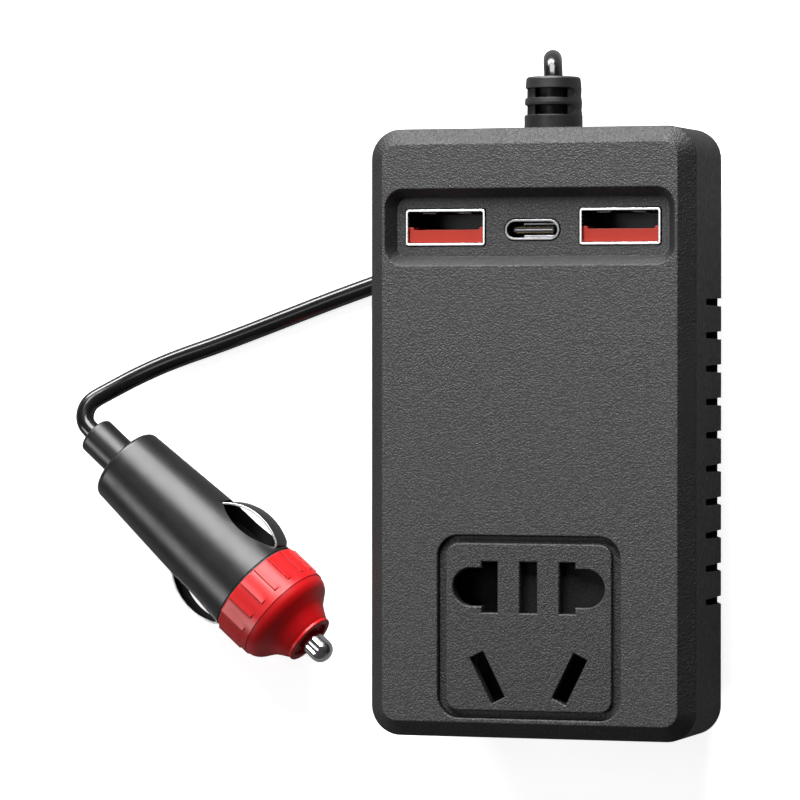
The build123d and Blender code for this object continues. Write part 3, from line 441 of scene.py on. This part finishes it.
# (radius, height) of the concave nose, then of the flange's edge as steps from FLANGE_R and NOSE_END.
NOSE_CURVE = [(8.56, 45.75), (8.3, 46.6), (7.75, 47.35), (6.8, 48.1), (5.8, 48.95), (5.12, 49.9),
              (4.62, 50.8), (4.3, 51.3)]
FLANGE_EDGE = [(-0.03, -0.45), (0.0, -0.25), (-0.06, -0.08), (-0.2, 0.0)]
# One pitch of the grip: where each column stands in the pitch, and how much of the ridge it has.
RIDGE_PITCH = [(0.0, 0.0), (0.2, 0.0), (0.4, 0.0), (0.55, 0.0), (0.68, 0.25), (0.8, 0.62), (0.9, 1.0),
               (0.915, 0.97), (0.935, -0.2), (0.96, -0.1)]


def smooth_line(points, steps):
    """A Catmull-Rom line through the points, with steps pieces between neighbours."""
    line = [Vector(p) for p in points]
    line = [2 * line[0] - line[1], *line, 2 * line[-1] - line[-2]]
    out = []
    for a, b, c, d in zip(line, line[1:], line[2:], line[3:]):
        for i in range(steps):
            t = i / steps
            out.append(0.5 * (2 * b + (c - a) * t + (2 * a - 5 * b + 4 * c - d) * t ** 2
                              + (3 * b - a - 3 * c + d) * t ** 3))
    return [tuple(p) for p in out] + [tuple(points[-1])]


def cap_outline():
    """(radius, height, share of the ridge) from the back edge, over the nose and back through the bore."""
    ridge_start = CAP_BACK + CAP_BEVEL
    ridged = [(BAND_R - CAP_BEVEL, CAP_BACK, 0.7)]
    ridged += [(BAND_R, ridge_start + (RIDGE_END - ridge_start) * i / 4, 1.0) for i in range(5)]
    plain = [(BAND_R, RIDGE_END + RIDGE_RUNOUT), (BAND_R, BAND_END), (BAND_R - BAND_STEP, BAND_END)]
    plain += smooth_line(NOSE_CURVE, 4)
    plain += [(FLANGE_R + out, NOSE_END + up) for out, up in FLANGE_EDGE]
    plain += [(RECESS_R + CAP_BEVEL, NOSE_END), (RECESS_R, NOSE_END - CAP_BEVEL), (RECESS_R, RECESS_FLOOR),
              (PIN_BORE_R, RECESS_FLOOR), (PIN_BORE_R, FUSE_BORE_END), (FUSE_BORE_R, FUSE_BORE_END),
              (FUSE_BORE_R, NECK_BORE_END), (NECK_BORE_R, NECK_BORE_END), (NECK_BORE_R, CAP_BACK)]
    return ridged + [(radius, height, 0.0) for radius, height in plain]


def make_nose_cap():
    shape = bmesh.new()
    rings = []
    for radius, height, share in cap_outline():
        ring = []
        for rib in range(RIDGE_COUNT):
            for offset, rise in RIDGE_PITCH:
                angle = 2 * math.pi * (rib + offset) / RIDGE_COUNT
                r = radius + share * rise * (RIDGE_R - BAND_R)
                ring.append((r * math.cos(angle), r * math.sin(angle), height))
        rings.append(ring)
    loft(shape, rings, closed=True)
    mesh = finish_mesh("screw_cap", shape, PLUG, CAP_SHARP_ANGLE)
    return new_piece("screw_cap", mesh, "cap_red", "nose", "nose_cap")


# ---- Leaf contacts, in millimetres in the plug's frame ----------------------------------------
LEAF_W, LEAF_T, LEAF_RIM, LEAF_ROUND = 4.0, 0.4, 0.08, 0.09
LEAF_FOOT_X, LEAF_PEAK_X, LEAF_HOOK_X = 6.25, 10.0, 6.7
LEAF_START, LEAF_END, LEAF_PIVOT, LEAF_CUT = 25.2, 40.5, 20.5, 37.9
FOOT_BEND, FOOT_CORNER, FOOT_BEND_ANGLE = 0.9, 0.1, 6    # lengths below the bow, degrees of the bow
HOOK_BEND, HOOK_CORNER, HOOK_BEND_END = 0.55, 0.35, 0.95


def round_bend(start, corner, end):
    """Points between start and end, on a curve that leaves and arrives towards the corner."""
    start, corner, end = Vector(start), Vector(corner), Vector(end)
    fractions = [i / 8 for i in range(1, 8)]
    return [tuple((1 - t) ** 2 * start + 2 * (1 - t) * t * corner + t ** 2 * end) for t in fractions]


def leaf_centreline():
    """(x, height) along the strip: its foot, the bend out of the barrel, the bow and the hooked end."""
    half, rise = (LEAF_END - LEAF_START) / 2, LEAF_PEAK_X - LEAF_FOOT_X
    radius = (half ** 2 + rise ** 2) / (2 * rise)
    centre = (LEAF_PEAK_X - radius, (LEAF_START + LEAF_END) / 2)
    reach = math.degrees(math.asin(half / radius))
    stop = math.degrees(math.asin((LEAF_CUT - HOOK_BEND - centre[1]) / radius))
    bow = arc(centre, radius, FOOT_BEND_ANGLE - reach, stop, 40)
    foot = [(LEAF_FOOT_X, LEAF_PIVOT), (LEAF_FOOT_X, LEAF_START - FOOT_BEND)]
    bow_end = bow[-1]
    hook = [(bow_end[0] - HOOK_BEND_END, LEAF_CUT), (LEAF_HOOK_X, LEAF_CUT)]
    return (foot + round_bend(foot[-1], (LEAF_FOOT_X, LEAF_START - FOOT_CORNER), bow[0]) + bow
            + round_bend(bow_end, (bow_end[0] - HOOK_CORNER, LEAF_CUT), hook[0]) + hook)


def leaf_section():
    """The strip's cross-section (across, through), with rounded edges."""
    x, y = LEAF_W / 2 - LEAF_ROUND, LEAF_T / 2 - LEAF_ROUND
    corners = [((x, y), 0), ((-x, y), 90), ((-x, -y), 180), ((x, -y), 270)]
    return [p for corner, start in corners for p in arc(corner, LEAF_ROUND, start, start + 90, 4)]


def make_leaf(name, turn, body, node):
    line = [Vector(p) for p in leaf_centreline()]
    shape = bmesh.new()
    rim = shape.verts.layers.float.new("rim")
    rings = []
    for i, point in enumerate(line):
        along = (line[min(i + 1, len(line) - 1)] - line[max(i - 1, 0)]).normalized()
        out = Vector((along.y, -along.x))
        rings.append([(point.x + out.x * through, across, point.y + out.y * through)
                      for across, through in leaf_section()])
    loft(shape, rings)
    for vert in shape.verts:
        vert[rim] = float(abs(vert.co.y) > LEAF_W / 2 - LEAF_RIM)
    place = PLUG @ Matrix.Rotation(math.radians(turn), 4, "Z")
    return new_piece(name, finish_mesh(name, shape, place, 40), "leaf_steel", body, node)


# ---- USB ports, in millimetres ----------------------------------------------------------------
# Depths are measured down from the tongue's tip, insets in from its box, offsets from its middle.
TONGUE_T, LIP_H, LIP_W, TONGUE_BEVEL = 2.0, 2.5, 0.7, 0.08
BASE_H, BASE_GAP, BASE_BEVEL = 3.5, 0.02, 0.1
FINGER_W, FINGER_OFFSET, FINGER_BEVEL = 2.2, 2.9, 0.07
FINGER_DEPTHS, FINGER_INSETS = (4.5, 0.35), (0.27, 0.01)
C_CONTACT_COUNT, C_CONTACT_PITCH, C_CONTACT_W, C_CONTACT_T, C_CONTACT_BEVEL = 12, 0.5, 0.26, 0.18, 0.03
C_CONTACT_DEPTHS, C_CONTACT_OFFSET = (4.0, 0.6), 0.42
C_CORE_W, C_CORE_T, C_CORE_DEPTHS, C_CORE_BEVEL = 6.2, 0.2, (2.0, -0.04), 0.03
C_PLATE_SPAN, C_PLATE_DEPTHS, C_PLATE_BEVEL = (-1.7, 3.7), (3.0, 0.1), 0.06
C_PLATE_OFFSETS = [(0.78, 1.08), (-1.24, -0.84)]


def new_block(shape, low, high, edge):
    """Adds a block between two corners, its edges rounded by edge."""
    low, high = Vector(low), Vector(high)
    verts = bmesh.ops.create_cube(shape, size=1.0)["verts"]
    bmesh.ops.scale(shape, vec=high - low, verts=verts)
    bmesh.ops.translate(shape, vec=(low + high) / 2, verts=verts)
    edges = {e for v in verts for e in v.link_edges}
    bmesh.ops.bevel(shape, geom=list(edges), offset=edge, segments=3, affect="EDGES")


def make_usb_a_inside(side):
    """The port's coloured tongue, its black base, and the spring fingers pressed out of the shell."""
    low, high = (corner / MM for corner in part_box(f"usb_a_tongue_{side}"))
    inner, outer = (low.x + LIP_W, high.x - LIP_W), (low.x, high.x)
    flat_y, lip_y, foot_z = low.y + TONGUE_T, low.y + LIP_H, low.z + BASE_H
    outline = [(outer[0], low.y), (outer[1], low.y), (outer[1], lip_y), (inner[1], lip_y),
               (inner[1], flat_y), (inner[0], flat_y), (inner[0], lip_y), (outer[0], lip_y)]
    tongue = bmesh.new()
    loft(tongue, [[(x, y, z) for x, y in outline] for z in (foot_z, high.z)])
    bmesh.ops.bevel(tongue, geom=list(tongue.edges), offset=TONGUE_BEVEL, segments=2, affect="EDGES")
    new_piece(f"usb_a_insert_{side}", finish_mesh(f"usb_a_insert_{side}", tongue), "port_tongue", "housing",
              f"usb_a_tongue_{side}")

    base = bmesh.new()
    new_block(base, low, (high.x, high.y, foot_z - BASE_GAP), BASE_BEVEL)
    new_piece(f"usb_a_base_{side}", finish_mesh(f"usb_a_base_{side}", base), "port_insulator", "housing")

    fingers = bmesh.new()
    (y0, y1), (z0, z1) = (high.y - inset for inset in FINGER_INSETS), (high.z - d for d in FINGER_DEPTHS)
    for x in ((low.x + high.x) / 2 + offset for offset in (-FINGER_OFFSET, FINGER_OFFSET)):
        new_block(fingers, (x - FINGER_W / 2, y0, z0), (x + FINGER_W / 2, y1, z1), FINGER_BEVEL)
    new_piece(f"usb_a_fingers_{side}", finish_mesh(f"usb_a_fingers_{side}", fingers), "port_shell", "housing")


def make_usb_c_inside():
    """Contacts on both faces of the tongue, the plate in its end, and the shell's two spring plates."""
    low, high = (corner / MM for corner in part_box("usb_c_tongue"))
    middle_y = (low.y + high.y) / 2
    contacts = bmesh.new()
    z0, z1 = (high.z - depth for depth in C_CONTACT_DEPTHS)
    for y in (middle_y - C_CONTACT_OFFSET, middle_y + C_CONTACT_OFFSET):
        for i in range(C_CONTACT_COUNT):
            x = (i - (C_CONTACT_COUNT - 1) / 2) * C_CONTACT_PITCH
            new_block(contacts, (x - C_CONTACT_W / 2, y - C_CONTACT_T / 2, z0),
                      (x + C_CONTACT_W / 2, y + C_CONTACT_T / 2, z1), C_CONTACT_BEVEL)
    new_piece("usb_c_contacts", finish_mesh("usb_c_contacts", contacts), "contact_brass", "housing")

    plates = bmesh.new()
    z0, z1 = (high.z - depth for depth in C_CORE_DEPTHS)
    new_block(plates, (-C_CORE_W / 2, middle_y - C_CORE_T / 2, z0),
              (C_CORE_W / 2, middle_y + C_CORE_T / 2, z1), C_CORE_BEVEL)
    z0, z1 = (high.z - depth for depth in C_PLATE_DEPTHS)
    for near, far in C_PLATE_OFFSETS:
        new_block(plates, (C_PLATE_SPAN[0], middle_y + near, z0), (C_PLATE_SPAN[1], middle_y + far, z1),
                  C_PLATE_BEVEL)
    piece = new_piece("usb_c_plates", finish_mesh("usb_c_plates", plates), "port_shell", "housing")
    give(piece, "port_c_shell")


def make_spring(node):
    """The spring's coil as a mesh of its own, copied from the node that it replaces."""
    mesh = NODES[node].data.copy()
    mesh.transform(NODES[node].matrix_world)
    piece = new_piece(f"{node}_coil", mesh, SLOT_OF[node], "housing", node)
    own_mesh(piece)
    return piece


# ---- All the pieces ---------------------------------------------------------------------------
make_spring("shutter_upper_spring")
make_spring("shutter_lower_spring")
tip_coil = make_spring("tip_spring")
cord = make_cord()
screw_cap = make_nose_cap()
leaf_right = make_leaf("leaf_spring_right", 0, "leaf_right", "leaf_contact_right")
leaf_left = make_leaf("leaf_spring_left", 180, "leaf_left", "leaf_contact_left")
make_usb_c_inside()
make_usb_a_inside("left")
make_usb_a_inside("right")

Vector(CORD_ROUTE[0]) * MM


# ---- Floor and light --------------------------------------------------------------------------
FLOOR_SIZE, FLOOR_GREY, FLOOR_SEEN_GREY, FLOOR_SEEN_GLOW = 6.0, 0.22, 0.88, 0.72
WORLD_DIM, WORLD_SEEN = 0.06, 1.0


def make_floor():
    """White to the camera and darker to everything else, like the world."""
    shape = bmesh.new()
    bmesh.ops.create_grid(shape, x_segments=1, y_segments=1, size=FLOOR_SIZE)
    mesh = bpy.data.meshes.new("floor")
    shape.to_mesh(mesh)
    shape.free()
    floor = bpy.data.objects.new("floor", mesh)
    bpy.context.scene.collection.objects.link(floor)
    look = Look("floor", grey(FLOOR_GREY), 0.9, Specular_IOR_Level=0.0)
    seen = look.add("ShaderNodeLightPath").outputs["Is Camera Ray"]
    look.blend_colour(seen, grey(FLOOR_SEEN_GREY))
    look.shader.inputs["Emission Color"].default_value = (1, 1, 1, 1)
    look.link(look.span(seen, 0, 1, 0.0, FLOOR_SEEN_GLOW), look.shader.inputs["Emission Strength"])
    mesh.materials.append(look.material)


def make_softbox(name, at, target, width, height, radiance):
    """A soft box that the camera doesn't see: metres, and radiance in W per square metre and steradian."""
    light = bpy.data.lights.new(name, "AREA")
    light.shape = "RECTANGLE"
    light.size, light.size_y = width, height
    light.energy = radiance * width * height * math.pi
    lamp = bpy.data.objects.new(name, light)
    lamp.location = at
    lamp.visible_camera = False
    lamp.rotation_mode = "QUATERNION"
    lamp.rotation_quaternion = (Vector(target) - Vector(at)).to_track_quat("-Z", "Y")
    bpy.context.scene.collection.objects.link(lamp)


def make_world():
    """White to the camera and dim to everything else, so that the sides stay dark."""
    world = bpy.data.worlds.new("studio")
    bpy.context.scene.world = world
    world.use_nodes = True
    tree = world.node_tree
    background = tree.nodes["Background"]
    background.inputs["Color"].default_value = (1, 1, 1, 1)
    path = tree.nodes.new("ShaderNodeLightPath")
    strength = tree.nodes.new("ShaderNodeMapRange")
    strength.inputs["To Min"].default_value = WORLD_DIM
    strength.inputs["To Max"].default_value = WORLD_SEEN
    tree.links.new(path.outputs["Is Camera Ray"], strength.inputs["Value"])
    tree.links.new(strength.outputs["Result"], background.inputs["Strength"])


make_floor()
make_world()
make_softbox("key", (-0.012, 0.35, 0.263), (0, 0, 0.02), 0.34, 0.24, 13)
make_softbox("cord_end", (-0.25, 0.95, 0.17), (0, 0, 0.03), 1.0, 0.3, 21)
make_softbox("left", (-0.73, -0.33, 0.50), (-0.06, -0.02, 0.01), 0.35, 0.35, 7)
make_softbox("overhead", (-0.31, 0.10, 1.05), (0, 0, 0.03), 0.34, 0.34, 2.0)
